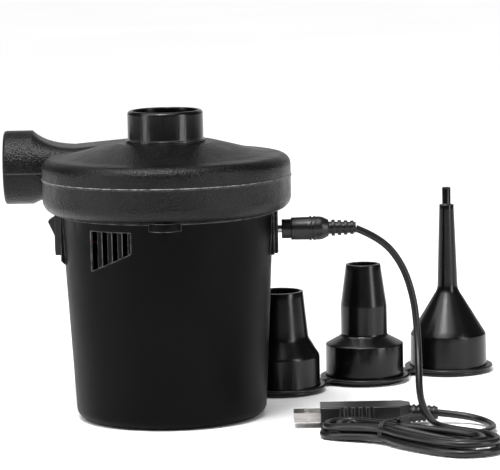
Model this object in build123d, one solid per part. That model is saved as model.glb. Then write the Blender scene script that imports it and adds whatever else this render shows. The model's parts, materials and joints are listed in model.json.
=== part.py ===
"""Electric air mattress pump with its USB charging cable and a tethered set of slip-on nozzles.

Millimetres, +Z up. The origin is the centre of the bucket's base. The switch is on -X, the charging
socket on +X, the tangential outlet leaves towards -X at the back, and the front is -Y.
"""

import os
from math import cos, exp, pi, radians, sin, tan

from build123d import *

# Bucket
BASE_R = 45.3
DRAFT_DEG = 3.1
BUCKET_TOP_Z = 99.0
BUCKET_EDGE = 5.5
WALL = 2.2
FLOOR = 2.5

# Blower head
HEAD_R = 59.3
SEAM_Z = 115.3
HEAD_EDGE_Z = 125.0
DECK_Z = 131.9
DECK_R = 24.0
CREASE_R = 48.0
PORT_R = 18.0
PORT_WALL = 2.4
PORT_SEAT_R = 17.4
SPIGOT_TOP_Z = 146.9
SEAM_BEAD = 0.35
DUCT_Y = 40.0
DUCT_Z = 116.8
DUCT_END_X = -80.0

# Case screws, seen from above: angle of each, on one circle
SCREW_CIRCLE_R = 48.7
SCREW_ANGLES = (-90.0, 30.0, 155.0)
SCREW_R = 1.5
BOSS_R = 7.5
BOSS_Z = 95.0

# Motor and rotor
MOTOR_R = 13.85
MOTOR_Z = (61.5, BUCKET_TOP_Z)
SHAFT_R = 1.15
RUNNING = 0.05
MOTOR_SCREW_Y = 8.0
IMPELLER_R = 42.5
IMPELLER_Z = (104.5, 119.0)
BLADES = 9

# Battery
CELL_R = 9.2
CELL_Z = (6.0, 71.0)
CELL_CIRCLE_R = 30.0
CELL_ANGLES = (60.0, 180.0, 300.0)
STRIP = 0.3

# Rocker switch on -X
PAD_X = -50.8
BEZEL = 2.8
BEZEL_H = 19.6
SWITCH_BODY = (13.0, 17.6)
SWITCH_Z = 88.9
ROCKER_R = 8.2
ROCKER_TILT = 12.0
ROCKER_PIVOT_X = -51.5
ROCKER_W = 10.4
ROCKER_PIN_R = 1.2

# Charging socket on +X and the plug in it
SOCKET_Z = 88.8
PLATE_X = (50.7, 52.6)
BARREL_R = 1.75
PLUG_X = 54.4
PLUG_END_X = 89.8
CORD_R = 1.7

# USB plug, lying on the floor and pointing to -X
USB_Y = -38.0
USB_Z = 5.0
USB_X = (58.0, 70.5, 112.5, 125.5)

# Tied hank of cord, lying on the floor
HANK_CENTRE = (110.0, -88.0)
HANK_TURN = -38.0
HANK_H = 11.0
TIE_X = (-13.5, -10.0)

# Nozzle set, standing on its mouths in a row behind on the right
ROW_TURN = 30.0
MEDIUM_AT = (96.0, 84.0)
PITCH_WIDE = 49.5
PITCH_NEEDLE = 51.0
CUP_R = 18.1
CUP_OUT_R = 19.6
FLANGE_R = 21.6
FLANGE = 1.8
STRAP = 1.6
STRAP_W = 9.0
STRAP_RING_R = 22.6
HINGE_GAP = 0.8

# Route of the free cord from the socket plug down to the hank, and from the USB plug to the hank
LEAD_ROUTE = [
    (PLUG_END_X, 0, 88.3),
    (101.5, -0.5, 83.5),
    (111.5, -2.5, 71.5),
    (116.8, -5.5, 55),
    (118, -11, 38),
    (117.8, -21, 23.5),
    (117.2, -35, 14.5),
    (118, -51, 10),
    (120.5, -66, 7),
    (123, -79, 6),
]
TAIL_ROUTE = [
    (USB_X[3], USB_Y, USB_Z),
    (137, -38.5, 3.8),
    (146.5, -45, 2.4),
    (150.5, -57, 2.0),
    (148, -70, 2.2),
    (140, -81, 3.0),
    (129, -87, 4.0),
]


def bucket_r(z):
    """Outer radius of the bucket's drafted wall at a height."""
    return BASE_R + z * tan(radians(DRAFT_DEG))


def block(x0, x1, y0, y1, z0, z1):
    """Box between two corners."""
    size = (x1 - x0, y1 - y0, z1 - z0)
    return Pos((x0 + x1) / 2, (y0 + y1) / 2, (z0 + z1) / 2) * Box(*size)


def disc(radius, z0, z1, at=(0, 0)):
    """Upright cylinder between two heights."""
    return Pos(at[0], at[1], (z0 + z1) / 2) * Cylinder(radius, z1 - z0)


def ring(outer, inner, z0, z1, at=(0, 0)):
    """Upright tube between two heights."""
    return disc(outer, z0, z1, at) - disc(inner, z0, z1, at)


def rod_x(radius, x0, x1, y, z):
    """Cylinder along X."""
    return Pos((x0 + x1) / 2, y, z) * Rot(0, 90, 0) * Cylinder(radius, x1 - x0)


def turned(*points):
    """Solid of revolution about Z. A point is (radius, z) or (radius, z, rounding)."""
    rounding = [p[2] if len(p) > 2 else 0 for p in points]
    outline = FilletPolyline(*[(p[0], 0, p[1]) for p in points], radius=rounding, close=True)
    return revolve(make_face(outline), Axis.Z)


def around(angle, radius):
    """Point on a circle about the pump's axis."""
    return (radius * cos(radians(angle)), radius * sin(radians(angle)))


def tube(name, route, radius):
    """Round tube along straight runs joined by the largest arcs that their lengths allow."""
    points = [Vector(*p) for p in route]
    runs = [b - a for a, b in zip(points, points[1:])]
    radii = []
    for before, after in zip(runs, runs[1:]):
        turn = before.get_angle(after)
        radii.append(0.45 * min(before.length, after.length) / tan(radians(turn / 2)))
    path = FilletPolyline(*points, radius=radii)
    start = Plane(origin=points[0], z_dir=runs[0])
    solid = sweep(start * Circle(radius), path)
    expected = path.length * pi * radius**2
    print(name, "radii", [round(r, 1) for r in radii], "length", round(path.length, 1))
    print(name, "volume", round(solid.volume), "section times length", round(expected))
    return solid


# ---------------------------------------------------------------------------------------------------
# Case
# ---------------------------------------------------------------------------------------------------

VENT_X = (-35.0, -16.1)
VENT_TOP_Z = 94.0
VENT_LOW_Z = (75.0, 84.2)
VENT_RECESS = 1.3
SLOT_X = -33.2
SLOT_PITCH = 4.8
SLOT_W = 2.4
PAD_W = 9.5
JACK_PAD_W = 9.0
LIP = 1.0


def vent():
    """Cutter for the vent: a shallow four-sided recess with four slots through its floor."""
    left, right = VENT_X
    corners = [(left, VENT_TOP_Z), (right, VENT_TOP_Z), (right, VENT_LOW_Z[1]), (left, VENT_LOW_Z[0])]
    window = Pos(0, -45, 0) * extrude(Plane.XZ * make_face(Polyline(*corners, close=True)), 15, both=True)
    top_r = bucket_r(BUCKET_TOP_Z)
    floor = turned(
        (0, 0), (BASE_R - VENT_RECESS, 0), (top_r - VENT_RECESS, BUCKET_TOP_Z), (0, BUCKET_TOP_Z)
    )
    cutter = window - floor
    for slot in range(4):
        x = SLOT_X + slot * SLOT_PITCH
        cutter += window & block(x - SLOT_W / 2, x + SLOT_W / 2, -60, -30, 0, BUCKET_TOP_Z)
    return cutter


def switch_block(x0, x1):
    """Block as wide and tall as the part of the switch that passes through the wall."""
    half_w = SWITCH_BODY[0] / 2
    half_h = SWITCH_BODY[1] / 2
    return block(x0, x1, -half_w, half_w, SWITCH_Z - half_h, SWITCH_Z + half_h)


def base_housing():
    """Drafted bucket with a vent in front, a switch pad, a socket pad and three screw bosses."""
    top_r = bucket_r(BUCKET_TOP_Z)
    outside = turned((0, 0), (BASE_R, 0, BUCKET_EDGE), (top_r, BUCKET_TOP_Z), (0, BUCKET_TOP_Z))
    pad_low = SWITCH_Z - 14
    switch_pad = block(PAD_X, -40, -PAD_W, PAD_W, pad_low, BUCKET_TOP_Z)
    ramp = Pos(PAD_X - 2.5, 0, pad_low) * Rot(0, 45, 0) * Box(6, 30, 6)
    jack_pad = block(40, PLATE_X[0], -JACK_PAD_W, JACK_PAD_W, SOCKET_Z - 11.3, BUCKET_TOP_Z)
    lip = disc(top_r + LIP, BUCKET_TOP_Z - LIP, BUCKET_TOP_Z)
    lip -= block(-60, -40, -PAD_W, PAD_W, 90, 100) + block(40, 60, -JACK_PAD_W, JACK_PAD_W, 90, 100)
    shape = outside + lip + (switch_pad - ramp) + jack_pad
    inside = turned(
        (0, FLOOR),
        (BASE_R - WALL, FLOOR, BUCKET_EDGE - WALL),
        (top_r - WALL, BUCKET_TOP_Z + 1),
        (0, BUCKET_TOP_Z + 1),
    )
    shape -= inside
    for angle in SCREW_ANGLES:
        at = around(angle, SCREW_CIRCLE_R)
        shape += disc(BOSS_R, BOSS_Z, BUCKET_TOP_Z, at)
        shape -= disc(SCREW_R + 0.1, BOSS_Z, BUCKET_TOP_Z, at)
        shape -= disc(3.2, BOSS_Z, BOSS_Z + 2.5, at)
    shape -= vent()
    shape -= switch_block(PAD_X - 5, -40)
    shape -= rod_x(3.6, 40, PLATE_X[0] + 1, 0, SOCKET_Z)
    return shape


FLARE_X = (-66.0, -46.0)
FLARE_EASE = 7.0
FLARE_STEPS = 8
THROAT_SQUEEZE = 6.5
THROAT_CORNER = 6.5


def duct_section(x, radius, share):
    """Cross-section of the duct, from the round mouth (share 0) to the flatter throat (share 1)."""
    squeeze = THROAT_SQUEEZE * share
    corner = max(radius - 0.01 - 1.7 * squeeze, THROAT_CORNER)
    centre_z = DUCT_Z + (SEAM_Z - DUCT_Z) * share
    plane = Plane(origin=(x, DUCT_Y, centre_z), x_dir=(0, 1, 0), z_dir=(1, 0, 0))
    return plane * RectangleRounded(2 * radius, 2 * (radius - squeeze), corner)


def duct(radius, far_x, near_x):
    """Outlet duct: a round tube that flares out of a flatter throat on the side of the head."""
    start, end = FLARE_X
    flare = []
    for step in range(FLARE_STEPS + 1):
        depth = (end - start) * (step / FLARE_STEPS) ** 1.6
        share = (1 - exp(-depth / FLARE_EASE)) / (1 - exp(-(end - start) / FLARE_EASE))
        flare.append(duct_section(start + depth, radius, share))
    near = Plane(origin=(near_x, DUCT_Y, SEAM_Z), x_dir=(0, 1, 0), z_dir=(1, 0, 0))
    throat = loft([flare[-1], near * RectangleRounded(2 * radius, 2 * radius - 7, THROAT_CORNER)])
    solid = rod_x(radius, far_x, start, DUCT_Y, DUCT_Z) + throat
    for before, after in zip(flare, flare[1:]):
        solid += loft([before, after])
    return solid


def head_shell():
    """Hollow blower head with its tangential outlet, before it is parted at the seam."""
    outside = turned(
        (0, BUCKET_TOP_Z),
        (HEAD_R, BUCKET_TOP_Z, 6.5),
        (HEAD_R, SEAM_Z - 2 * SEAM_BEAD),
        (HEAD_R + SEAM_BEAD, SEAM_Z - 2 * SEAM_BEAD, 0.2),
        (HEAD_R + SEAM_BEAD, SEAM_Z),
        (HEAD_R, SEAM_Z),
        (HEAD_R, HEAD_EDGE_Z, 5),
        (CREASE_R, HEAD_EDGE_Z + 0.6, 1.2),
        (DECK_R, DECK_Z, 6),
        (0, DECK_Z),
    )
    inner_r = HEAD_R - WALL
    inside = turned(
        (0, BUCKET_TOP_Z + FLOOR),
        (inner_r, BUCKET_TOP_Z + FLOOR, 4.5),
        (inner_r, HEAD_EDGE_Z - WALL, 3),
        (CREASE_R, HEAD_EDGE_Z + 0.6 - WALL, 8),
        (DECK_R, DECK_Z - WALL, 6),
        (0, DECK_Z - WALL),
    )
    outlet = duct(PORT_R, DUCT_END_X, -8)
    outlet = fillet(outlet.edges().group_by(Axis.X)[0], 1.5)
    outside += outlet
    inside += duct(PORT_R - PORT_WALL, DUCT_END_X - 1, -11)
    return outside - inside


def lower_volute(shell):
    """Lower half of the blower head: it closes the bucket and carries the motor."""
    half = shell & block(-100, 100, -100, 100, 90, SEAM_Z)
    half -= disc(6.5, 90, 110)
    for side in (-1, 1):
        half -= disc(1.35, 90, 110, (0, side * MOTOR_SCREW_Y))
    for angle in SCREW_ANGLES:
        half -= disc(SCREW_R + 0.1, 90, 110, around(angle, SCREW_CIRCLE_R))
    return half


def upper_cover(shell):
    """Upper half of the blower head, with a post for each case screw."""
    half = shell & block(-100, 100, -100, 100, SEAM_Z, 140)
    half -= disc(PORT_SEAT_R, 120, 140)
    for angle in SCREW_ANGLES:
        at = around(angle, SCREW_CIRCLE_R)
        half += disc(3.5, BUCKET_TOP_Z + FLOOR, HEAD_EDGE_Z, at)
        half -= disc(SCREW_R, 100, 112, at)
    return half


def intake_spigot():
    """Round intake port, set into the deck."""
    bore = PORT_R - PORT_WALL
    return turned(
        (bore, DECK_Z - WALL - 1.2),
        (PORT_SEAT_R, DECK_Z - WALL - 1.2),
        (PORT_SEAT_R, DECK_Z),
        (PORT_R + 1, DECK_Z),
        (PORT_R + 1, DECK_Z + 1.2),
        (PORT_R, DECK_Z + 1.6),
        (PORT_R, SPIGOT_TOP_Z, 1.7),
        (bore, SPIGOT_TOP_Z, 0.6),
    )


def cover_screws():
    """Three long screws driven up through the bucket's bosses into the cover's posts."""
    screw = disc(3.0, BOSS_Z + 0.4, BOSS_Z + 2.5) + disc(SCREW_R, BOSS_Z + 2.5, 112)
    screw -= block(-2, 2, -0.4, 0.4, BOSS_Z, BOSS_Z + 1.2)
    screw -= block(-0.4, 0.4, -2, 2, BOSS_Z, BOSS_Z + 1.2)
    places = [around(angle, SCREW_CIRCLE_R) for angle in SCREW_ANGLES]
    return Compound([Pos(x, y, 0) * screw for x, y in places])


# ---------------------------------------------------------------------------------------------------
# Motor and rotor
# ---------------------------------------------------------------------------------------------------

CAN_WALL = 0.8
BUSHING_R = 3.0
ARMATURE_R = 10.9
ARMATURE_Z = (70.0, 92.0)
COMMUTATOR_R = 3.2
COMMUTATOR_Z = (64.5, 68.0)
LEAF_X = (6.6, 7.1)


def motor_can():
    """Drawn steel can, closed at the top."""
    low, top = MOTOR_Z
    can = ring(MOTOR_R, MOTOR_R - CAN_WALL, low, top - 1) + ring(MOTOR_R, BUSHING_R, top - 1, top)
    for side in (-1, 1):
        can -= disc(1.25, top - 1, top, (0, side * MOTOR_SCREW_Y))
    return can


def motor_end_cap():
    """Plastic cap that closes the can and holds the brushes."""
    low = MOTOR_Z[0]
    cap = ring(MOTOR_R - CAN_WALL, BUSHING_R, low, low + 2.5)
    for side in (-1, 1):
        cap -= leaf(side)
    return cap


def leaf(side):
    """Brush spring that passes through the end cap and ends in a solder tab."""
    x0, x1 = sorted((side * LEAF_X[0], side * LEAF_X[1]))
    return block(x0, x1, -1.2, 1.2, MOTOR_Z[0] - 4, COMMUTATOR_Z[1] - 0.6)


def motor_brushes():
    """Two carbon brushes on their leaf springs."""
    brushes = []
    for side in (-1, 1):
        x0, x1 = sorted((side * (COMMUTATOR_R + 0.3), side * LEAF_X[0]))
        brushes.append(leaf(side) + block(x0, x1, -1, 1, 65.2, 67.2))
    return Compound(brushes)


def motor_magnet(side):
    """Curved field magnet on one side of the can."""
    shell = ring(MOTOR_R - CAN_WALL, ARMATURE_R + 0.4, 68, 94)
    return shell & block(*sorted((side * 5.5, side * 20)), -20, 20, 60, 100)


def motor_bushing(z0, z1):
    """Sintered sleeve that the shaft turns in."""
    return ring(BUSHING_R, SHAFT_R + RUNNING, z0, z1)


def motor_screws():
    """Two short screws that hold the motor under the volute's floor."""
    seat = BUCKET_TOP_Z + FLOOR
    screw = disc(2.3, seat, seat + 1.5) + disc(1.25, MOTOR_Z[1] - 1, seat)
    return Compound([Pos(0, side * MOTOR_SCREW_Y, 0) * screw for side in (-1, 1)])


def armature_core():
    """Three-pole laminated core."""
    low, top = ARMATURE_Z
    core = disc(4, low, top) + ring(ARMATURE_R, 9, low, top)
    for pole in range(3):
        core += Rot(0, 0, 120 * pole) * block(0, 9.5, -1.75, 1.75, low, top)
        core -= Rot(0, 0, 120 * pole + 60) * block(6, 12, -1.1, 1.1, low, top)
    return core - disc(SHAFT_R, low, top)


def armature_windings(core):
    """Coil wound round each pole."""
    coil = block(4.3, 8.8, -3.9, 3.9, ARMATURE_Z[0] - 1.5, ARMATURE_Z[1] + 1.5)
    coil &= disc(8.9, 60, 100)
    return Compound([Rot(0, 0, 120 * pole) * coil - core for pole in range(3)])


def commutator():
    """Segmented copper sleeve."""
    sleeve = ring(COMMUTATOR_R, SHAFT_R, *COMMUTATOR_Z)
    for slot in range(3):
        sleeve -= Rot(0, 0, 120 * slot) * block(2.6, 4, -0.2, 0.2, *COMMUTATOR_Z)
    return sleeve


def impeller():
    """Open impeller with backward-curved blades."""
    low, top = IMPELLER_Z
    wheel = disc(IMPELLER_R, low, low + 1.5) + disc(5, low, low + 9)
    arc_r = 34.0
    arc = ring(arc_r, arc_r - 1.4, low + 1, top, (IMPELLER_R / 2, -arc_r + 8))
    blade = arc & ring(IMPELLER_R - 0.5, 17, low + 1, top) & block(10, 50, -30, 30, low, top)
    for count in range(BLADES):
        wheel += Rot(0, 0, 360 / BLADES * count) * blade
    return wheel - disc(SHAFT_R, low, low + 9)


# ---------------------------------------------------------------------------------------------------
# Battery, board and wires
# ---------------------------------------------------------------------------------------------------

STRIP_R = (26.0, 34.0)
BOARD_Y = 30.0
BOARD = 1.6
TERMINAL_Z = (SWITCH_Z - 4, SWITCH_Z + 4)
WIRE_R = 0.7


def battery_tray():
    """Moulded tray with a pocket for each cell."""
    tray = ring(39.5, 12, FLOOR, 14)
    for angle in CELL_ANGLES:
        tray -= disc(CELL_R, CELL_Z[0], 14, around(angle, CELL_CIRCLE_R))
    return tray - ring(*reversed(STRIP_R), CELL_Z[0] - STRIP, CELL_Z[0])


def battery_clamp():
    """Plate that holds the tops of the cells together round the motor."""
    plate = ring(42, 19, 60, 64)
    for angle in CELL_ANGLES:
        plate -= disc(CELL_R, 60, 64, around(angle, CELL_CIRCLE_R))
    return plate


def battery_cell(angle):
    """Cylindrical cell with a raised terminal."""
    low, top = CELL_Z
    return Pos(*around(angle, CELL_CIRCLE_R), 0) * (disc(CELL_R, low, top - 1) + disc(3, top - 1, top))


def contact_strip(z0):
    """Nickel ring that joins the cells."""
    return ring(STRIP_R[1], STRIP_R[0], z0, z0 + STRIP)


def control_board():
    """Charging and motor control board, upright behind the motor."""
    return block(-16, 16, BOARD_Y, BOARD_Y + BOARD, 73, 95)


def board_bracket():
    """Bracket that hangs the board from the volute's floor."""
    back = BOARD_Y + BOARD
    upright = block(-13, 13, back, back + 2, 88, BUCKET_TOP_Z)
    return upright + block(-13, 13, back, back + 6, BUCKET_TOP_Z - 2, BUCKET_TOP_Z)


def board_parts():
    """Larger components on the board: coil, controller and capacitor."""
    face = BOARD_Y
    coil = block(-3.5, 3.5, face - 4, face, 75, 82)
    chip = block(-3, 3, face - 1.5, face, 85, 90)
    capacitor = Pos(12.5, face - 4, 88) * Rot(90, 0, 0) * Cylinder(2.5, 8)
    return Compound([coil, chip, capacitor])


def wire_routes():
    """Centre lines of the five internal wires, from end to end."""
    motor_tab = (LEAF_X[0] + LEAF_X[1]) / 2
    tab_z = MOTOR_Z[0] - 4
    strip_top = CELL_Z[1] + STRIP
    low, top = TERMINAL_Z
    routes = {
        "wire_battery": [(-31.5, 5, strip_top), (-31.5, 5, 78), (-32, 0, low - 1), (-36.5, 0, low)],
        "wire_switch": [(-36.5, 0, top), (-32, 0, top + 1), (-27, 12, 96), (-14, 21, 95), (-13, BOARD_Y, 92)],
        "wire_socket": [(38, 0, 88), (31, 0, 88), (24, 16, 86), (8.5, 22, 84), (8.5, BOARD_Y, 84)],
    }
    for side, name in ((-1, "wire_motor_left"), (1, "wire_motor_right")):
        routes[name] = [
            (side * motor_tab, 0, tab_z),
            (side * motor_tab, 0, tab_z - 5),
            (side * 8, 16, tab_z - 6),
            (side * 8.5, 16.5, 76),
            (side * 8.5, BOARD_Y, 77.5),
        ]
    return routes


# ---------------------------------------------------------------------------------------------------
# Rocker switch
# ---------------------------------------------------------------------------------------------------


def switch_frame():
    """Snap-in frame with a rectangular bezel."""
    front = PAD_X - BEZEL
    bezel = block(front, PAD_X, -7.5, 7.5, SWITCH_Z - BEZEL_H / 2, SWITCH_Z + BEZEL_H / 2)
    bezel = fillet(bezel.edges().filter_by(Axis.X), 1.0)
    bezel = chamfer(bezel.faces().sort_by(Axis.X)[0].edges(), 0.4)
    frame = bezel + switch_block(PAD_X, -38)
    frame -= block(front, -43.5, -5.6, 5.6, SWITCH_Z - ROCKER_R - 0.3, SWITCH_Z + ROCKER_R + 0.3)
    frame -= Pos(ROCKER_PIVOT_X, 0, SWITCH_Z) * Rot(90, 0, 0) * Cylinder(ROCKER_PIN_R + RUNNING, 12.4)
    for z in TERMINAL_Z:
        frame -= block(-43.5, -38, -2.4, 2.4, z - 0.4, z + 0.4)
    return frame


def switch_terminals():
    """Two brass blades."""
    return Compound([block(-43.5, -36.5, -2.4, 2.4, z - 0.4, z + 0.4) for z in TERMINAL_Z])


def switch_rocker():
    """Rocker with a shallow V face, at rest with its lower half pressed in."""
    round_body = Rot(90, 0, 0) * Cylinder(ROCKER_R, ROCKER_W)
    middle = -2.4
    end = middle - 10 * tan(radians(ROCKER_TILT))
    outline = Polyline((3, -10), (3, 10), (end, 10), (middle, 0), (end, -10), close=True)
    wedge = extrude(Plane.XZ * make_face(outline), ROCKER_W / 2, both=True)
    pin = Rot(90, 0, 0) * Cylinder(ROCKER_PIN_R, 2 * 6.1)
    rocker = (round_body & wedge) + pin
    return Pos(ROCKER_PIVOT_X, 0, SWITCH_Z) * Rot(0, -ROCKER_TILT, 0) * rocker


# ---------------------------------------------------------------------------------------------------
# Charging socket and cable
# ---------------------------------------------------------------------------------------------------


def jack_plate():
    """Plate that the charging socket looks out of."""
    plate = block(*PLATE_X, -8.6, 8.6, SOCKET_Z - 10.8, BUCKET_TOP_Z - 0.4)
    plate = fillet(plate.edges().filter_by(Axis.X), 1.5)
    plate = chamfer(plate.faces().sort_by(Axis.X)[-1].edges(), 0.5)
    return plate - rod_x(3.5, *PLATE_X, 0, SOCKET_Z)


def dc_jack_body():
    """Socket body with its round nose."""
    body = block(38, 47, -4.5, 4.5, SOCKET_Z - 4.5, SOCKET_Z + 4.5)
    body += rod_x(3.5, 46, PLATE_X[1], 0, SOCKET_Z)
    body -= rod_x(BARREL_R + RUNNING, 42, PLATE_X[1], 0, SOCKET_Z)
    return body - rod_x(0.6, 41, 42, 0, SOCKET_Z)


def dc_plug_barrel():
    """Nickel-plated barrel of the charging plug."""
    return rod_x(BARREL_R, 43, 57, 0, SOCKET_Z) - rod_x(0.6 + RUNNING, 42, 57, 0, SOCKET_Z)


def dc_plug_body():
    """Moulded plug: a neck, a barrel with two grip rings, a domed end and a ribbed strain relief."""
    length = PLUG_END_X - PLUG_X
    profile = turned(
        (0, 0),
        (4.6, 0, 0.4),
        (4.6, 4.4),
        (5.35, 4.4, 0.4),
        (5.5, 13.3),
        (5.9, 13.3, 0.2),
        (5.9, 14.2, 0.2),
        (5.4, 14.2),
        (5.4, 15.1),
        (5.9, 15.1, 0.2),
        (5.9, 16.0, 0.2),
        (5.6, 16.0),
        (5.6, 19.0, 6),
        (3.9, 22.4, 0.6),
        (3.0, 22.4),
        (2.6, length),
        (0, length),
    )
    for rib in range(4):
        low = 23.7 + 3.0 * rib
        profile += fillet(disc(3.9 - 0.2 * rib, low, low + 1.7).edges(), 0.35)
    body = Pos(PLUG_X, 0, SOCKET_Z) * Rot(0, 90, 0) * profile
    return body - rod_x(BARREL_R, PLUG_X, 57, 0, SOCKET_Z)


def usb_shell():
    """Folded metal shell with two latch windows on each broad face."""
    x0, x1 = USB_X[0], USB_X[1] + 5.5
    shell = block(x0, x1, USB_Y - 6, USB_Y + 6, USB_Z - 2.25, USB_Z + 2.25)
    shell -= block(x0, x1, USB_Y - 5.7, USB_Y + 5.7, USB_Z - 1.95, USB_Z + 1.95)
    for side in (-1, 1):
        y = USB_Y + side * 2.9
        for z in (USB_Z - 2.1, USB_Z + 2.1):
            shell -= block(x0 + 5, x0 + 7.4, y - 1.2, y + 1.2, z - 0.5, z + 0.5)
    return shell


def usb_tongue():
    """Plastic tongue inside the shell."""
    return block(USB_X[0] + 1, USB_X[1] + 5.5, USB_Y - 5.7, USB_Y + 5.7, USB_Z, USB_Z + 1.95)


def usb_contacts():
    """Four gold contacts on the tongue."""
    x0, x1 = USB_X[0] + 1.5, USB_X[0] + 11
    strips = [block(x0, x1, y - 0.5, y + 0.5, USB_Z - 0.2, USB_Z) for y in (-41.5, -39, -37, -34.5)]
    return Compound(strips)


def usb_plug_body():
    """Flat moulded housing with cut rear corners, side grips and a ribbed strain relief."""
    front, back, end = USB_X[1:]
    body = block(front, back, USB_Y - 8.5, USB_Y + 8.5, 0, 2 * USB_Z)
    rear = body.edges().filter_by(Axis.Z).group_by(Axis.X)[-1]
    body = chamfer(rear, 5)
    body = fillet(body.edges().filter_by(Axis.X), 0.8)
    for side in (-1, 1):
        for grip in range(5):
            at = (front + 10 + 3.4 * grip, USB_Y + side * 9.9)
            body -= disc(1.9, -1, 12, at)
    body -= block(front, front + 5.5, USB_Y - 6, USB_Y + 6, USB_Z - 2.25, USB_Z + 2.25)
    taper = Pos((back + end) / 2, USB_Y, USB_Z) * Rot(0, 90, 0)
    body += taper * Cone(3.9, 2.9, end - back)
    for rib in range(5):
        x = back + 1.2 + 2.4 * rib
        body += rod_x(4.3 - 0.2 * rib, x, x + 1.2, USB_Y, USB_Z)
    return body


def hank_place():
    """Place and heading of the hank on the floor."""
    return Pos(*HANK_CENTRE, 0) * Rot(0, 0, HANK_TURN)


def charge_cord_hank():
    """Outer shape of the tied hank: two lobes of loops with a waist under the tie."""
    short_lobe = Pos(-32, 0, 0) * extrude(Ellipse(17, 16), HANK_H)
    long_lobe = Pos(20.5, 0, 0) * extrude(Ellipse(28.5, 21), HANK_H)
    waist = block(-30, 6, -7, 7, 1.5, 9.5)
    return hank_place() * (short_lobe + waist + long_lobe)


def cord_tie():
    """Twist tie round the waist of the hank, with its twisted ends standing off."""
    x0, x1 = TIE_X
    band = block(x0, x1, -8, 8, 0.4, 10.6) - block(x0, x1, -7, 7, 1.5, 9.5)
    ends = Pos((x0 + x1) / 2, 15, 9.6) * Rot(90, 0, 0) * Cylinder(0.9, 15)
    return hank_place() * (band + ends)


# ---------------------------------------------------------------------------------------------------
# Nozzle set
# ---------------------------------------------------------------------------------------------------


def nozzle_needle():
    """Long thin nozzle with a stepped tip."""
    return turned(
        (CUP_R, 0),
        (FLANGE_R, 0),
        (FLANGE_R, FLANGE),
        (CUP_OUT_R, FLANGE),
        (CUP_OUT_R, 5),
        (CUP_OUT_R - 0.2, 19.3),
        (5.25, 42.4, 8),
        (3.7, 86.1),
        (2.2, 86.1),
        (2.2, 94.9),
        (1.2, 94.9),
        (2.2, 84),
        (3.8, 42.0, 8),
        (CUP_R - 0.6, 18.0),
        (CUP_R, 17.0),
    )


def nozzle_medium():
    """Stepped nozzle without a flange."""
    return turned(
        (CUP_R, 0),
        (CUP_OUT_R, 0),
        (CUP_OUT_R, 19.3),
        (11.7, 23.6, 2),
        (11.7, 38.6, 10),
        (8.7, 59.7),
        (7.1, 59.7),
        (10.1, 38.0, 10),
        (10.1, 24.2, 2),
        (CUP_R - 0.5, 19.0),
        (CUP_R, 17.5),
    )


def nozzle_wide():
    """Short wide nozzle."""
    return turned(
        (CUP_R, 0),
        (FLANGE_R, 0),
        (FLANGE_R, FLANGE),
        (CUP_OUT_R, FLANGE),
        (CUP_OUT_R, 18.0, 3),
        (14.3, 27.0, 5),
        (11.9, 50.3),
        (10.3, 50.3),
        (12.7, 27.0, 5),
        (CUP_R - 0.3, 18.2),
        (CUP_R, 17.0),
    )


def strap_ring(arms):
    """Ring of the strap round one cup, with half a band towards each neighbour in arms."""
    part = ring(STRAP_RING_R, CUP_OUT_R, FLANGE, FLANGE + STRAP)
    for side, pitch in arms:
        x0, x1 = sorted((side * (CUP_OUT_R + 1), side * (pitch / 2 - HINGE_GAP)))
        part += block(x0, x1, -STRAP_W / 2, STRAP_W / 2, FLANGE, FLANGE + STRAP)
    return part


def row_place(distance):
    """Place in the row of nozzles, measured from the medium one."""
    return Pos(*MEDIUM_AT, 0) * Rot(0, 0, ROW_TURN) * Pos(distance, 0, 0)


# ---------------------------------------------------------------------------------------------------
# All nodes
# ---------------------------------------------------------------------------------------------------


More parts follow.
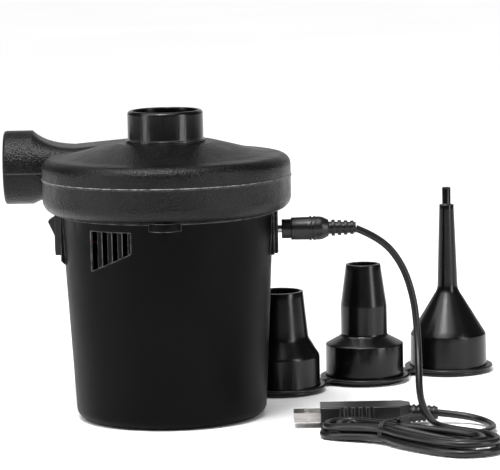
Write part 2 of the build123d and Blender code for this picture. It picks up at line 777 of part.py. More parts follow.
def all_nodes():
    """Every node by name."""
    shell = head_shell()
    core = armature_core()
    nodes = {
        "base_housing": base_housing(),
        "lower_volute": lower_volute(shell),
        "upper_cover": upper_cover(shell),
        "intake_spigot": intake_spigot(),
        "cover_screws": cover_screws(),
        "motor_can": motor_can(),
        "motor_end_cap": motor_end_cap(),
        "motor_brushes": motor_brushes(),
        "motor_magnet_left": motor_magnet(-1),
        "motor_magnet_right": motor_magnet(1),
        "motor_bushing_lower": motor_bushing(MOTOR_Z[0] - 1, MOTOR_Z[0] + 2.5),
        "motor_bushing_upper": motor_bushing(MOTOR_Z[1] - 3, MOTOR_Z[1] + 2),
        "motor_screws": motor_screws(),
        "motor_shaft": disc(SHAFT_R, MOTOR_Z[0] - 2, IMPELLER_Z[0] + 12.5),
        "armature_core": core,
        "armature_windings": armature_windings(core),
        "commutator": commutator(),
        "impeller": impeller(),
        "impeller_collar": ring(3, SHAFT_R, IMPELLER_Z[0] + 9, IMPELLER_Z[0] + 12),
        "battery_tray": battery_tray(),
        "battery_clamp": battery_clamp(),
        "contact_strip_lower": contact_strip(CELL_Z[0] - STRIP),
        "contact_strip_upper": contact_strip(CELL_Z[1]),
        "control_board": control_board(),
        "board_bracket": board_bracket(),
        "board_parts": board_parts(),
        "switch_frame": switch_frame(),
        "switch_terminals": switch_terminals(),
        "switch_rocker": switch_rocker(),
        "jack_plate": jack_plate(),
        "dc_jack_body": dc_jack_body(),
        "jack_centre_pin": rod_x(0.6, 41, 51.5, 0, SOCKET_Z),
        "dc_plug_barrel": dc_plug_barrel(),
        "dc_plug_body": dc_plug_body(),
        "charge_cord_lead": tube("charge_cord_lead", LEAD_ROUTE, CORD_R),
        "charge_cord_hank": charge_cord_hank(),
        "charge_cord_tail": tube("charge_cord_tail", TAIL_ROUTE, CORD_R),
        "cord_tie": cord_tie(),
        "usb_plug_body": usb_plug_body(),
        "usb_shell": usb_shell(),
        "usb_tongue": usb_tongue(),
        "usb_contacts": usb_contacts(),
        "nozzle_needle": row_place(PITCH_NEEDLE) * nozzle_needle(),
        "nozzle_medium": row_place(0) * nozzle_medium(),
        "nozzle_wide": row_place(-PITCH_WIDE) * nozzle_wide(),
        "strap_needle": row_place(PITCH_NEEDLE) * strap_ring([(-1, PITCH_NEEDLE)]),
        "strap_medium": row_place(0) * strap_ring([(-1, PITCH_WIDE), (1, PITCH_NEEDLE)]),
        "strap_wide": row_place(-PITCH_WIDE) * strap_ring([(1, PITCH_WIDE)]),
    }
    for number, angle in enumerate(CELL_ANGLES, 1):
        nodes[f"battery_cell_{number}"] = battery_cell(angle)
    for name, route in wire_routes().items():
        nodes[name] = tube(name, route, WIRE_R)
    return nodes


os.makedirs("parts", exist_ok=True)
for node, solid in all_nodes().items():
    export_step(solid, f"parts/{node}.step")
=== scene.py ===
"""Electric air mattress pump with its charging cable and nozzle set: the looks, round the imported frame.

Metres, +Z up, the pump's axis at X = Y = 0 and its base on the floor.
"""

import json
from math import cos, pi, radians, sin, tan

import bmesh
import bpy
from mathutils import Matrix, Vector


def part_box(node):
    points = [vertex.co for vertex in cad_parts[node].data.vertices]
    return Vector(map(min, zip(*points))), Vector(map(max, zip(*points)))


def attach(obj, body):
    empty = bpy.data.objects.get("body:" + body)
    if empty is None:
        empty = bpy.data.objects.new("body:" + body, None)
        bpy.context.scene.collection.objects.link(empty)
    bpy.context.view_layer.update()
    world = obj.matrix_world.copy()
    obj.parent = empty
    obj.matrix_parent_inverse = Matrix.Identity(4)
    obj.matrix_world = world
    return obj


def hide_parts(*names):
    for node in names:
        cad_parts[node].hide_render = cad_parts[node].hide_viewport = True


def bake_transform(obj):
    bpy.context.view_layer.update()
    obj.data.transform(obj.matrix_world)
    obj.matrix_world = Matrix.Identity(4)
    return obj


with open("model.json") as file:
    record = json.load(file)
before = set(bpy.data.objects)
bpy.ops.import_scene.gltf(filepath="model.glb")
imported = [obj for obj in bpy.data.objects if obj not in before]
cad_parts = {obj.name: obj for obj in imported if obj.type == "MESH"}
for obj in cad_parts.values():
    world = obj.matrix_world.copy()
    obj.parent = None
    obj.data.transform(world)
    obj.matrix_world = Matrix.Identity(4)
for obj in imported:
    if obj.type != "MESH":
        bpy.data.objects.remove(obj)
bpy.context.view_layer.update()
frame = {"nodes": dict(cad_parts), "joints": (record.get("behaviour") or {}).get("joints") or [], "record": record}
NODES = frame["nodes"]
JOINTS = {joint["name"]: joint for joint in frame["joints"]}
MM = 0.001

# ------------------------------------------------------------------------------------------
# Camera
# ------------------------------------------------------------------------------------------

ELEVATION = radians(7.2)
ROLL = radians(1.2)
DISTANCE = 1.5
FOCAL_LENGTH = 226
AIM = Vector((0.0392, 0, 0.0861))


def add_camera():
    """Camera in front of the pump, a little above it."""
    data = bpy.data.cameras.new("camera")
    data.lens = FOCAL_LENGTH
    data.clip_start = 0.05
    camera = bpy.data.objects.new("camera", data)
    bpy.context.scene.collection.objects.link(camera)
    towards = Vector((0, cos(ELEVATION), -sin(ELEVATION)))
    camera.location = AIM - DISTANCE * towards
    turn = towards.to_track_quat("-Z", "Y").to_matrix().to_4x4() @ Matrix.Rotation(-ROLL, 4, "Z")
    camera.rotation_euler = turn.to_euler()
    bpy.context.scene.camera = camera


add_camera()

# ------------------------------------------------------------------------------------------
# Small helpers
# ------------------------------------------------------------------------------------------


def link(name, data):
    """New object in the scene."""
    piece = bpy.data.objects.new(name, data)
    bpy.context.scene.collection.objects.link(piece)
    return piece


def mesh_piece(name, bm, smooth=True):
    """Object from a bmesh, with its normals outwards."""
    bmesh.ops.recalc_face_normals(bm, faces=bm.faces[:])
    mesh = bpy.data.meshes.new(name)
    bm.to_mesh(mesh)
    bm.free()
    for face in mesh.polygons:
        face.use_smooth = smooth
    return link(name, mesh)


def paint(piece, material):
    """Give a new piece its material."""
    piece.data.materials.append(material)


def nurbs(name, points, radius):
    """Round cord along a smooth line. Points are in metres."""
    curve = bpy.data.curves.new(name, "CURVE")
    curve.dimensions = "3D"
    spline = curve.splines.new("NURBS")
    spline.points.add(len(points) - 1)
    for place, point in zip(spline.points, points):
        place.co = (*point, 1)
    spline.order_u = 3
    spline.use_endpoint_u = True
    curve.resolution_u = 8
    curve.bevel_depth = radius
    curve.bevel_resolution = 5
    curve.use_fill_caps = True
    return link(name, curve)


# ------------------------------------------------------------------------------------------
# The charging cable's cord
# ------------------------------------------------------------------------------------------

CORD_D = 3.4 * MM
LEAD_ROUTE = [
    (89.8, 0, 88.3),
    (101.5, -0.5, 83.5),
    (111.5, -2.5, 71.5),
    (116.8, -5.5, 55),
    (118, -11, 38),
    (117.8, -21, 23.5),
    (117.2, -35, 14.5),
    (118, -51, 10),
    (120.5, -66, 7),
]
TAIL_ROUTE = [
    (140, -81, 3.0),
    (148, -70, 2.2),
    (150.5, -57, 2.0),
    (146.5, -45, 2.4),
    (137, -38.5, 3.8),
    (125.5, -38, 5.0),
]
HANK_CENTRE = (110, -88)
HANK_TURN = radians(-38)
LONG_LOBE_X = 20
SHORT_LOBE_X = -30
WAIST_X = -11.8
# Each turn of the hank: ends and half widths of its two lobes, its height in the lobes, and its place
# (across, up) in the bundle that the tie holds.
TURNS = [
    {"long": (46.0, 17.0), "short": (-45.5, 12.5), "z": 5.7, "waist": (5.3, 7.0)},
    {"long": (38.5, 12.0), "short": (-39.0, 8.2), "z": 5.7, "waist": (1.8, 7.0)},
    {"long": (33.0, 8.8), "short": (-37.0, 7.0), "z": 1.9, "waist": (1.8, 3.3)},
    {"long": (47.2, 19.2), "short": (-47.0, 14.0), "z": 1.9, "waist": (5.3, 3.3)},
]


def hank_point(x, y, z):
    """From the hank's own axes to the row frame, in millimetres."""
    return (
        HANK_CENTRE[0] + x * cos(HANK_TURN) - y * sin(HANK_TURN),
        HANK_CENTRE[1] + x * sin(HANK_TURN) + y * cos(HANK_TURN),
        z,
    )


def lobe(centre_x, end_x, half_width, z, angles):
    """Points round one lobe of a turn."""
    return [
        (centre_x + abs(end_x - centre_x) * cos(radians(a)), half_width * sin(radians(a)), z)
        for a in angles
    ]


def hank_turns():
    """All turns of the hank, clockwise from the far side of the long lobe, in its own axes."""
    points = []
    for count, turn in enumerate(TURNS):
        across, up = turn["waist"]
        half = (turn["z"] + up) / 2
        start = (62, 31, 0, -31, -62)
        points += lobe(LONG_LOBE_X, *turn["long"], turn["z"], start)
        points.append((2, -(across + turn["long"][1]) / 2, half))
        points.append((WAIST_X, -across, up))
        points += lobe(SHORT_LOBE_X, *turn["short"], turn["z"], (242, 211, 180, 149, 118))
        points.append((WAIST_X, across, up))
        if count < len(TURNS) - 1:
            width = TURNS[count + 1]["long"][1]
            points.append((3, across + 0.3 * (width - across), (up + TURNS[count + 1]["z"]) / 2))
    return points


def cord_points():
    """Whole line of the cord, in metres."""
    joining = [(4, 16.0, 6.4), (14, 15.2, 5.9)]
    leaving = [(-3, 9.8, 3.1), (4, 15.5, 2.6), (12, 20.5, 2.3)]
    hank = [hank_point(*p) for p in joining + hank_turns() + leaving]
    return [Vector(p) * MM for p in LEAD_ROUTE + hank + TAIL_ROUTE]


def curve_line(curve_object):
    """Points of a curve's smooth line, read from a copy without its thickness."""
    bare = curve_object.data.copy()
    bare.bevel_depth = 0
    probe = bpy.data.objects.new("probe", bare)
    mesh = bpy.data.meshes.new_from_object(probe)
    line = [v.co.copy() for v in mesh.vertices]
    bpy.data.objects.remove(probe)
    bpy.data.curves.remove(bare)
    bpy.data.meshes.remove(mesh)
    return line


def line_length(line):
    """Length of a line of points."""
    return sum((b - a).length for a, b in zip(line, line[1:]))


charge_cord = nurbs("charge_cord", cord_points(), CORD_D / 2)
CORD_LENGTH = line_length(curve_line(charge_cord))

# ------------------------------------------------------------------------------------------
# Materials
# ------------------------------------------------------------------------------------------


class Shader:
    """A node material with its Principled shader and object coordinates ready."""

    def __init__(self, name, roughness=0.5, metallic=0.0, coat=0.0, specular=0.5):
        self.material = bpy.data.materials.new(name)
        self.material.use_nodes = True
        self.tree = self.material.node_tree
        self.principled = self.tree.nodes["Principled BSDF"]
        self.principled.inputs["Metallic"].default_value = metallic
        self.principled.inputs["Roughness"].default_value = roughness
        self.principled.inputs["Coat Weight"].default_value = coat
        self.principled.inputs["Coat Roughness"].default_value = 0.12
        self.principled.inputs["Specular IOR Level"].default_value = specular
        self.coordinates = self.tree.nodes.new("ShaderNodeTexCoord").outputs["Object"]
        self.normal = None

    def stretched(self, scale):
        """Object coordinates scaled differently along each axis."""
        mapping = self.tree.nodes.new("ShaderNodeMapping")
        mapping.inputs["Scale"].default_value = scale
        self.tree.links.new(self.coordinates, mapping.inputs["Vector"])
        return mapping.outputs["Vector"]

    def noise(self, scale, detail=3.0, roughness=0.5, stretch=None):
        """Noise value from 0 to 1."""
        node = self.tree.nodes.new("ShaderNodeTexNoise")
        node.inputs["Scale"].default_value = scale
        node.inputs["Detail"].default_value = detail
        node.inputs["Roughness"].default_value = roughness
        source = self.stretched(stretch) if stretch else self.coordinates
        self.tree.links.new(source, node.inputs["Vector"])
        return node.outputs["Fac"]

    def cells(self, scale):
        """Distance to the nearest of scattered points."""
        node = self.tree.nodes.new("ShaderNodeTexVoronoi")
        node.inputs["Scale"].default_value = scale
        self.tree.links.new(self.coordinates, node.inputs["Vector"])
        return node.outputs["Distance"]

    def remap(self, value, low, high, out_low, out_high):
        """Value moved from one range to another."""
        node = self.tree.nodes.new("ShaderNodeMapRange")
        node.inputs["From Min"].default_value = low
        node.inputs["From Max"].default_value = high
        node.inputs["To Min"].default_value = out_low
        node.inputs["To Max"].default_value = out_high
        self.tree.links.new(value, node.inputs["Value"])
        return node.outputs["Result"]

    def colour(self, value, dark, light, low=0.35, high=0.65):
        """Base colour that follows a value between two colours."""
        ramp = self.tree.nodes.new("ShaderNodeValToRGB")
        ramp.color_ramp.elements[0].position = low
        ramp.color_ramp.elements[1].position = high
        ramp.color_ramp.elements[0].color = (*dark, 1)
        ramp.color_ramp.elements[1].color = (*light, 1)
        self.tree.links.new(value, ramp.inputs["Fac"])
        self.tree.links.new(ramp.outputs["Color"], self.principled.inputs["Base Color"])

    def painted_edge_highlight_and_wear(self, radius_mm, light):
        """Base colour that turns lighter along edges: a painted edge highlight, also standing for rubbed wear."""
        rounded = self.tree.nodes.new("ShaderNodeBevel")
        rounded.samples = 6
        rounded.inputs["Radius"].default_value = radius_mm * MM
        flat = self.tree.nodes.new("ShaderNodeNewGeometry")
        turn = self.tree.nodes.new("ShaderNodeVectorMath")
        turn.operation = "DOT_PRODUCT"
        self.tree.links.new(rounded.outputs["Normal"], turn.inputs[0])
        self.tree.links.new(flat.outputs["Normal"], turn.inputs[1])
        # Edge mask from the Bevel normal: where it is high, the colour is lightened as a painted edge highlight.
        edge = self.remap(turn.outputs["Value"], 0.98, 0.88, 0, 1)
        patchy_edge_highlight = self.tree.nodes.new("ShaderNodeMath")
        patchy_edge_highlight.operation = "MULTIPLY"
        self.tree.links.new(edge, patchy_edge_highlight.inputs[0])
        self.tree.links.new(self.remap(self.noise(260, 4), 0.35, 0.6, 0.25, 1), patchy_edge_highlight.inputs[1])
        mix = self.tree.nodes.new("ShaderNodeMix")
        mix.data_type = "RGBA"
        mix.inputs[7].default_value = (*light, 1)
        base = self.principled.inputs["Base Color"]
        self.tree.links.new(patchy_edge_highlight.outputs["Value"], mix.inputs[0])
        self.tree.links.new(base.links[0].from_socket, mix.inputs[6])
        self.tree.links.new(mix.outputs[2], base)

    def gloss(self, value, low, high):
        """Roughness that follows a value."""
        result = self.remap(value, 0.3, 0.7, low, high)
        self.tree.links.new(result, self.principled.inputs["Roughness"])

    def bump(self, value, height_mm, strength=1.0):
        """Relief of a height in millimetres, on top of any before it."""
        node = self.tree.nodes.new("ShaderNodeBump")
        node.inputs["Distance"].default_value = height_mm * MM
        node.inputs["Strength"].default_value = strength
        self.tree.links.new(value, node.inputs["Height"])
        if self.normal:
            self.tree.links.new(self.normal, node.inputs["Normal"])
        self.normal = node.outputs["Normal"]
        self.tree.links.new(self.normal, self.principled.inputs["Normal"])


def grey(value):
    """Neutral colour."""
    return (value, value, value)


# Width of the painted edge highlight, which also stands for rubbed wear.
EDGE_HIGHLIGHT_AND_WEAR_MM = 0.9


def grained_plastic(name, dark, light, roughness, grain_mm, grain_height, specular=0.3, edge_highlight_and_wear=0.0):
    """Moulded plastic with a fine even spark-eroded grain."""
    shader = Shader(name, specular=specular)
    shader.colour(shader.noise(900 / grain_mm, 2, 0.7), grey(dark), grey(light), 0.5, 0.72)
    # Lighter edges: painted edge highlight, also standing for rubbed wear.
    if edge_highlight_and_wear:
        shader.painted_edge_highlight_and_wear(EDGE_HIGHLIGHT_AND_WEAR_MM, grey(edge_highlight_and_wear))
    shader.gloss(shader.noise(120, 3), roughness, roughness + 0.1)
    shader.bump(shader.noise(45, 2), 0.06, 0.25)
    shader.bump(shader.cells(1000 / grain_mm), grain_height, 0.55)
    shader.bump(shader.noise(1600 / grain_mm, 2), grain_height, 0.5)
    return shader.material


def smooth_plastic(name, dark, light, roughness, coat=0.0, ripple=0.04, specular=0.5, edge_highlight_and_wear=0.0):
    """Moulded plastic with a smooth face, a slight orange peel and handling haze."""
    shader = Shader(name, coat=coat, specular=specular)
    shader.colour(shader.noise(35, 4), dark, light)
    # Lighter edges: painted edge highlight, also standing for rubbed wear.
    if edge_highlight_and_wear:
        shader.painted_edge_highlight_and_wear(EDGE_HIGHLIGHT_AND_WEAR_MM, grey(edge_highlight_and_wear))
    shader.gloss(shader.noise(70, 6, 0.7), roughness, roughness + 0.09)
    shader.bump(shader.noise(55, 2), ripple, 0.35)
    shader.bump(shader.noise(2600, 2), 0.004, 0.4)
    return shader.material


SCRATCH_SCALE = 900


def metal(name, dark, light, roughness, stretch=(1, 1, 1)):
    """Metal with fine scratches that may run one way."""
    shader = Shader(name, metallic=1.0)
    scratches = shader.noise(SCRATCH_SCALE, 5, 0.65, stretch)
    shader.colour(scratches, dark, light)
    shader.gloss(shader.noise(160, 5, 0.6), roughness, roughness + 0.14)
    shader.bump(scratches, 0.01, 0.35)
    return shader.material


def speckled(name, dark, light, roughness, scale):
    """Pressed or sintered material with visible grains."""
    shader = Shader(name)
    shader.colour(shader.cells(scale), dark, light, 0.1, 0.5)
    shader.gloss(shader.noise(300, 3), roughness, roughness + 0.1)
    shader.bump(shader.cells(scale), 0.03, 0.5)
    return shader.material


def winding_copper():
    """Enamelled copper wire wound in close turns."""
    shader = Shader("winding_copper", metallic=1.0)
    node = shader.tree.nodes.new("ShaderNodeTexWave")
    node.bands_direction = "Z"
    node.inputs["Scale"].default_value = 700
    node.inputs["Distortion"].default_value = 0.4
    shader.tree.links.new(shader.coordinates, node.inputs["Vector"])
    wave = node.outputs["Fac"]
    shader.colour(wave, (0.28, 0.09, 0.03), (0.72, 0.33, 0.14), 0.1, 0.8)
    shader.gloss(wave, 0.25, 0.4)
    shader.bump(wave, 0.2, 0.8)
    return shader.material


def floor_material():
    """Plain pale studio floor."""
    shader = Shader("studio_floor", roughness=0.85, specular=0.2)
    shader.colour(shader.noise(3, 2), (0.965, 0.965, 0.965), (0.985, 0.985, 0.985))
    return shader.material


BRUSHED_X = (0.08, 1, 1)
# The lighter edge greys given below are painted edge highlights, also standing for rubbed wear.
MATERIALS = {
    "head_black": grained_plastic(
        "head_black", 0.0015, 0.011, 0.27, 0.9, 0.34, specular=0.2, edge_highlight_and_wear=0.08
    ),
    "bucket_black": smooth_plastic(
        "bucket_black", grey(0.001), grey(0.0018), 0.38, specular=0.06, edge_highlight_and_wear=0.16
    ),
    "gloss_black": smooth_plastic(
        "gloss_black", grey(0.001), grey(0.002), 0.19, ripple=0.09, specular=0.32, edge_highlight_and_wear=0.1
    ),
    "strap_black": smooth_plastic(
        "strap_black", grey(0.004), grey(0.006), 0.27, ripple=0.09, specular=0.35
    ),
    "switch_black": smooth_plastic("switch_black", grey(0.005), grey(0.008), 0.28, specular=0.3),
    "cable_black": smooth_plastic(
        "cable_black", grey(0.0045), grey(0.007), 0.27, ripple=0.12, specular=0.35
    ),
    "tie_black": smooth_plastic("tie_black", grey(0.01), grey(0.016), 0.5),
    "nickel": metal("nickel", (0.34, 0.32, 0.31), (0.5, 0.475, 0.46), 0.24, BRUSHED_X),
    "gold": metal("gold", (0.6, 0.41, 0.13), (0.85, 0.62, 0.25), 0.2),
    "tongue_white": smooth_plastic("tongue_white", grey(0.62), grey(0.7), 0.45),
    "motor_steel": metal("motor_steel", grey(0.4), grey(0.56), 0.28, (1, 1, 0.1)),
    "screw_steel": metal("screw_steel", grey(0.2), grey(0.34), 0.3),
    "bushing_bronze": metal("bushing_bronze", (0.36, 0.22, 0.09), (0.6, 0.42, 0.2), 0.4),
    "magnet_dark": speckled("magnet_dark", grey(0.03), grey(0.09), 0.7, 2200),
    "copper": winding_copper(),
    "inner_plastic": grained_plastic("inner_plastic", 0.045, 0.06, 0.5, 0.6, 0.05),
    "cell_wrap": smooth_plastic("cell_wrap", (0.03, 0.1, 0.24), (0.05, 0.14, 0.3), 0.25, 0.2),
    "board_green": smooth_plastic("board_green", (0.012, 0.09, 0.035), (0.02, 0.14, 0.055), 0.3),
    "board_parts": speckled("board_parts", grey(0.015), grey(0.03), 0.5, 1500),
    "wire_red": smooth_plastic("wire_red", (0.28, 0.012, 0.01), (0.38, 0.02, 0.015), 0.35),
    "wire_black": smooth_plastic("wire_black", grey(0.01), grey(0.016), 0.35),
}
PRINT_WHITE = smooth_plastic("print_white", grey(0.55), grey(0.68), 0.5)


def painted_seam_highlight():
    """Thin flash on a parting line, coloured light in patches: a painted highlight along the seam."""
    shader = Shader("painted_seam_highlight", roughness=0.35)
    # Light grey patches on the dark flash: painted highlight along the seam.
    shader.colour(shader.noise(420, 6, 0.75), grey(0.02), grey(0.42), 0.4, 0.62)
    shader.bump(shader.noise(1500, 3), 0.05, 0.6)
    return shader.material


PAINTED_SEAM_HIGHLIGHT = painted_seam_highlight()

# ------------------------------------------------------------------------------------------
# The CAD parts: materials, and small moulded edge radii
# ------------------------------------------------------------------------------------------

EDGE_RADII_MM = {
    "base_housing": 0.35,
    "lower_volute": 0.3,
    "upper_cover": 0.3,
    "intake_spigot": 0.3,
    "jack_plate": 0.25,
    "switch_frame": 0.25,
    "switch_rocker": 0.3,
    "dc_plug_body": 0.25,
    "usb_plug_body": 0.3,
    "usb_shell": 0.12,
    "usb_tongue": 0.15,
    "nozzle_needle": 0.3,
    "nozzle_medium": 0.35,
    "nozzle_wide": 0.35,
    "cover_screws": 0.2,
    "motor_can": 0.3,
    "impeller": 0.2,
}
SHARP_ANGLE = radians(28)


def dress_cad_nodes():
    """Each CAD node gets its slot's material, and visible ones get rounded edges."""
    slots = {part["node"]: part["material_slot"] for part in frame["record"]["subparts"]}
    for name, node in NODES.items():
        node.data.materials.clear()
        node.data.materials.append(MATERIALS[slots[name]])
        if name in EDGE_RADII_MM:
            weld = node.modifiers.new("weld", "WELD")
            weld.merge_threshold = 0.002 * MM
            bevel = node.modifiers.new("edge", "BEVEL")
            bevel.width = EDGE_RADII_MM[name] * MM
            bevel.segments = 3
            bevel.limit_method = "ANGLE"
            bevel.angle_limit = SHARP_ANGLE
            bevel.harden_normals = True


dress_cad_nodes()

SEAM_R = 59.5 * MM
SEAM_Z = 115.3 * MM
SEAM_ARC = (162, 456)
SEAM_FLASH_R = 0.22 * MM


def add_seam_flash():
    """Thin moulding flash round the head's parting line, open where the outlet duct joins; its light colour is a
    painted highlight.
    """
    points = []
    for angle in range(*SEAM_ARC, 6):
        a = radians(angle)
        points.append((SEAM_R * cos(a), SEAM_R * sin(a), SEAM_Z))
    piece = nurbs("seam_flash", points, SEAM_FLASH_R)
    piece.data.bevel_resolution = 2
    # The flash carries a painted seam highlight.
    paint(piece, PAINTED_SEAM_HIGHLIGHT)
    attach(piece, "pump")


add_seam_flash()

# ------------------------------------------------------------------------------------------
# Cable pieces
# ------------------------------------------------------------------------------------------

TIE_R = 0.55 * MM
WRAP_STEP = 1.2
WRAP_HALF_WIDTH = 7.6
WRAP_HEIGHTS = (0.9, 10.1)


def twist_tie():
    """Wire-cored tie: two turns round the waist of the hank."""
    points = []
    for wrap in range(2):
        x = WAIST_X + WRAP_STEP * (wrap - 0.5)
        for angle in range(0, 360, 30):
            a = radians(angle + 90)
            across = max(-WRAP_HALF_WIDTH, min(WRAP_HALF_WIDTH, 9.5 * cos(a)))
            up = max(WRAP_HEIGHTS[0], min(WRAP_HEIGHTS[1], 5.5 + 5.6 * sin(a)))
            points.append((x + angle / 360 * WRAP_STEP, across, up))
    return points


TWIST_START = 7.8
TWIST_LENGTH = 9.0


def tie_end(phase, splay):
    """One end of the tie: half of the twisted pair, then a short free end."""
    points = []
    for step in range(13):
        a = pi * step / 2 + phase
        out = TWIST_START + TWIST_LENGTH * step / 12
        points.append((WAIST_X + 0.5 * cos(a), out, 9.6 + 0.5 * sin(a)))
    last = TWIST_START + TWIST_LENGTH
    points.append((WAIST_X + splay * 1.5, last + 2.0, 9.7))
    points.append((WAIST_X + splay * 2.6, last + 5.0, 9.3))
    return points


def add_tie():
    """The tie's band and its two twisted ends."""
    routes = {"tie_band": twist_tie(), "tie_end_1": tie_end(0, 1), "tie_end_2": tie_end(pi, -1)}
    made = []
    for name, points in routes.items():
        piece = nurbs(name, [Vector(hank_point(*p)) * MM for p in points], TIE_R)
        paint(piece, MATERIALS["tie_black"])
        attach(piece, "cable")
        made.append(piece)
    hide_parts("cord_tie")
    return made


tie_pieces = add_tie()
paint(charge_cord, MATERIALS["cable_black"])
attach(charge_cord, "cable")
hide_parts("charge_cord_lead", "charge_cord_hank", "charge_cord_tail")

# ------------------------------------------------------------------------------------------
# Nozzle strap: three rings, and two flat bands between them
# ------------------------------------------------------------------------------------------

STRAP_T = 1.6 * MM
BAND_W = 9 * MM
BAND_OVERLAP = 0.9 * MM
BAND_STEPS = 28


def nozzle_centres():
    """Centre of each nozzle on the floor, from the frame."""
    centres = {}
    for name in ("wide", "medium", "needle"):
        low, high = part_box("nozzle_" + name)
        centres[name] = Vector(((low[0] + high[0]) / 2, (low[1] + high[1]) / 2, 0))
    return centres


CENTRES = nozzle_centres()
STRAP_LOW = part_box("strap_medium")[0][2]
CUP_R = 19.6 * MM
RING_R = 22.6 * MM


def flat_ring(name, centre, inner, outer, low, high, steps=96):
    """Flat ring with rounded edges."""
    bm = bmesh.new()
    edge = (high - low) * 0.3
    outline = [
        (inner, low), (outer - edge, low), (outer, low + edge), (outer, high - edge),
        (outer - edge, high), (inner + edge, high), (inner, high - edge),
    ]
    loops = []
    for step in range(steps):
        a = 2 * pi * step / steps
        section = [(centre.x + r * cos(a), centre.y + r * sin(a), z) for r, z in outline]
        loops.append([bm.verts.new(place) for place in section])
    for step in range(steps):
        here, after = loops[step], loops[(step + 1) % steps]
        for i in range(len(outline)):
            j = (i + 1) % len(outline)
            bm.faces.new((here[i], after[i], after[j], here[j]))
    piece = mesh_piece(name, bm)
    bevel = piece.modifiers.new("smooth", "BEVEL")
    bevel.width = edge * 0.4
    bevel.segments = 2
    bevel.limit_method = "ANGLE"
    return piece


def band(name, start, end, width, low, high):
    """Flat band between two rings, wider where it joins them, with rounded sides."""
    along = (end - start).normalized()
    across = Vector((-along.y, along.x, 0))
    thick = high - low
    edge = thick * 0.28
    bm = bmesh.new()
    loops = []
    for step in range(BAND_STEPS + 1):
        t = step / BAND_STEPS
        flare = 1 + 0.55 * (abs(2 * t - 1) ** 4)
        half = width / 2 * flare
        section = [
            (-half + edge, 0), (half - edge, 0), (half, edge), (half, thick - edge),
            (half - edge, thick), (-half + edge, thick), (-half, thick - edge), (-half, edge),
        ]
        at = start.lerp(end, t)
        loops.append([bm.verts.new(at + across * y + Vector((0, 0, low + z))) for y, z in section])
    for here, after in zip(loops, loops[1:]):
        for i in range(8):
            j = (i + 1) % 8
            bm.faces.new((here[i], after[i], after[j], here[j]))
    bm.faces.new(loops[0])
    bm.faces.new(loops[-1])
    return mesh_piece(name, bm)


def add_strap():
    """Rings ride with their nozzles, and each band runs straight from one nozzle to the next."""
    low, high = STRAP_LOW, STRAP_LOW + STRAP_T
    for name, centre in CENTRES.items():
        piece = flat_ring("strap_ring_" + name, centre, CUP_R, RING_R, low, high)
        paint(piece, MATERIALS["strap_black"])
        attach(piece, "nozzles_" + name)
        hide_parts("strap_" + name)
    for name in ("wide", "needle"):
        middle = CENTRES["medium"]
        other = CENTRES[name]
        along = (other - middle).normalized()
        start = middle + along * (RING_R - BAND_OVERLAP)
        end = other - along * (RING_R - BAND_OVERLAP)
        piece = band("strap_band_" + name, start, end, BAND_W, low, high)
        paint(piece, MATERIALS["strap_black"])
        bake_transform(piece)


add_strap()

# ------------------------------------------------------------------------------------------
# Switch marks
# ------------------------------------------------------------------------------------------


def mark_bar(bm):
    """Upright bar with rounded edges."""
    bmesh.ops.create_cube(bm, size=1)
    bmesh.ops.scale(bm, vec=(0.3 * MM, 0.7 * MM, 2.6 * MM), verts=bm.verts)
    bmesh.ops.bevel(bm, geom=bm.edges[:], offset=0.1 * MM, segments=2, affect="EDGES")


def mark_ring(bm):
    """Ring with a round section."""
    loops = []
    for step in range(36):
        a = 2 * pi * step / 36
        section = [(1.2 + 0.28 * cos(pi * turn / 4), 0.15 * sin(pi * turn / 4)) for turn in range(8)]
        loops.append([bm.verts.new((x * MM, r * cos(a) * MM, r * sin(a) * MM)) for r, x in section])
    for here, after in zip(loops, loops[1:] + loops[:1]):
        for i in range(8):
            bm.faces.new((here[i], after[i], after[(i + 1) % 8], here[(i + 1) % 8]))


ROCKER_TILT = radians(12)
ROCKER_FACE_X = -2.4
MARK_UP = 4.0


def add_switch_marks():
    """The usual bar and ring, moulded on the two halves of the rocker's face."""
    pivot = Matrix.Translation(JOINTS["switch_rock"]["pos_m"])
    pivot = pivot @ Matrix.Rotation(-ROCKER_TILT, 4, "Y")
    face_x = ROCKER_FACE_X - MARK_UP * tan(ROCKER_TILT)
    for name, side, shape in (("rocker_mark_on", 1, mark_bar), ("rocker_mark_off", -1, mark_ring)):
        bm = bmesh.new()
        shape(bm)
        piece = mesh_piece(name, bm)
        on_face = Matrix.Translation((face_x * MM, 0, side * MARK_UP * MM))
        piece.data.transform(pivot @ on_face @ Matrix.Rotation(-side * ROCKER_TILT, 4, "Y"))
        piece.data.materials.append(PRINT_WHITE)
        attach(piece, "rocker")


add_switch_marks()

# ------------------------------------------------------------------------------------------
# Floor, light and close
# ------------------------------------------------------------------------------------------


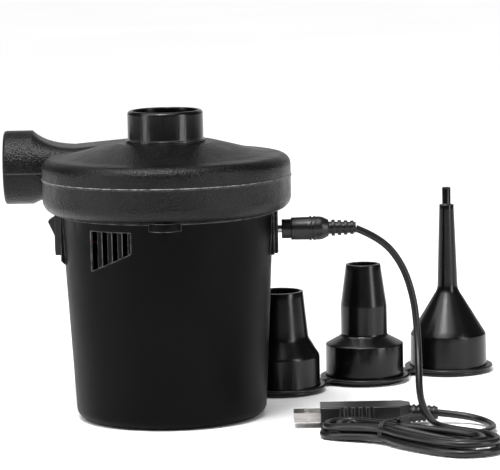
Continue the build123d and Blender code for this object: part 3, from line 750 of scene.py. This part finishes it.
def add_floor():
    """Large pale floor."""
    bm = bmesh.new()
    bmesh.ops.create_grid(bm, x_segments=1, y_segments=1, size=6)
    floor = mesh_piece("studio_floor", bm, smooth=False)
    floor.location = (0, 0, -0.0002)
    floor.data.materials.append(floor_material())


def add_soft_box(name, place, aim, width, height, power):
    """Upright rectangular soft light that points at a place."""
    data = bpy.data.lights.new(name, "AREA")
    data.shape = "RECTANGLE"
    data.size = width
    data.size_y = height
    data.energy = power
    lamp = link(name, data)
    lamp.visible_camera = False
    lamp.location = place
    lamp.rotation_euler = (Vector(aim) - Vector(place)).to_track_quat("-Z", "Y").to_euler()


def add_world(strength):
    """Dim even surroundings that light the object, in front of a plain white backdrop."""
    world = bpy.data.worlds.new("studio")
    world.use_nodes = True
    tree = world.node_tree
    surroundings = tree.nodes["Background"]
    surroundings.inputs["Color"].default_value = (1, 1, 1, 1)
    surroundings.inputs["Strength"].default_value = strength
    backdrop = tree.nodes.new("ShaderNodeBackground")
    backdrop.inputs["Color"].default_value = (1, 1, 1, 1)
    mix = tree.nodes.new("ShaderNodeMixShader")
    path = tree.nodes.new("ShaderNodeLightPath")
    tree.links.new(path.outputs["Is Camera Ray"], mix.inputs["Fac"])
    tree.links.new(surroundings.outputs["Background"], mix.inputs[1])
    tree.links.new(backdrop.outputs["Background"], mix.inputs[2])
    tree.links.new(mix.outputs["Shader"], tree.nodes["World Output"].inputs["Surface"])
    bpy.context.scene.world = world


def add_sun(strength):
    """Very soft light from above, the same all over the floor."""
    data = bpy.data.lights.new("overhead", "SUN")
    data.energy = strength
    data.angle = radians(70)
    lamp = link("overhead", data)
    lamp.rotation_euler = (radians(12), radians(-14), 0)


add_floor()
add_world(0.09)
add_sun(3.15)
add_soft_box("left", (-0.95, -0.5, 0.42), (0.02, 0, 0.1), 0.3, 0.8, 4.6)
add_soft_box("right", (0.9, -0.62, 0.4), (0.04, 0, 0.1), 0.3, 0.75, 5.6)
add_soft_box("top", (-0.14, -0.42, 1.1), (0, 0, 0.12), 0.3, 0.3, 8.5)
add_soft_box("back", (0.05, 1.3, 0.45), (0, 0, 0.1), 1.9, 0.75, 2.6)
bpy.context.scene.view_settings.view_transform = "Standard"
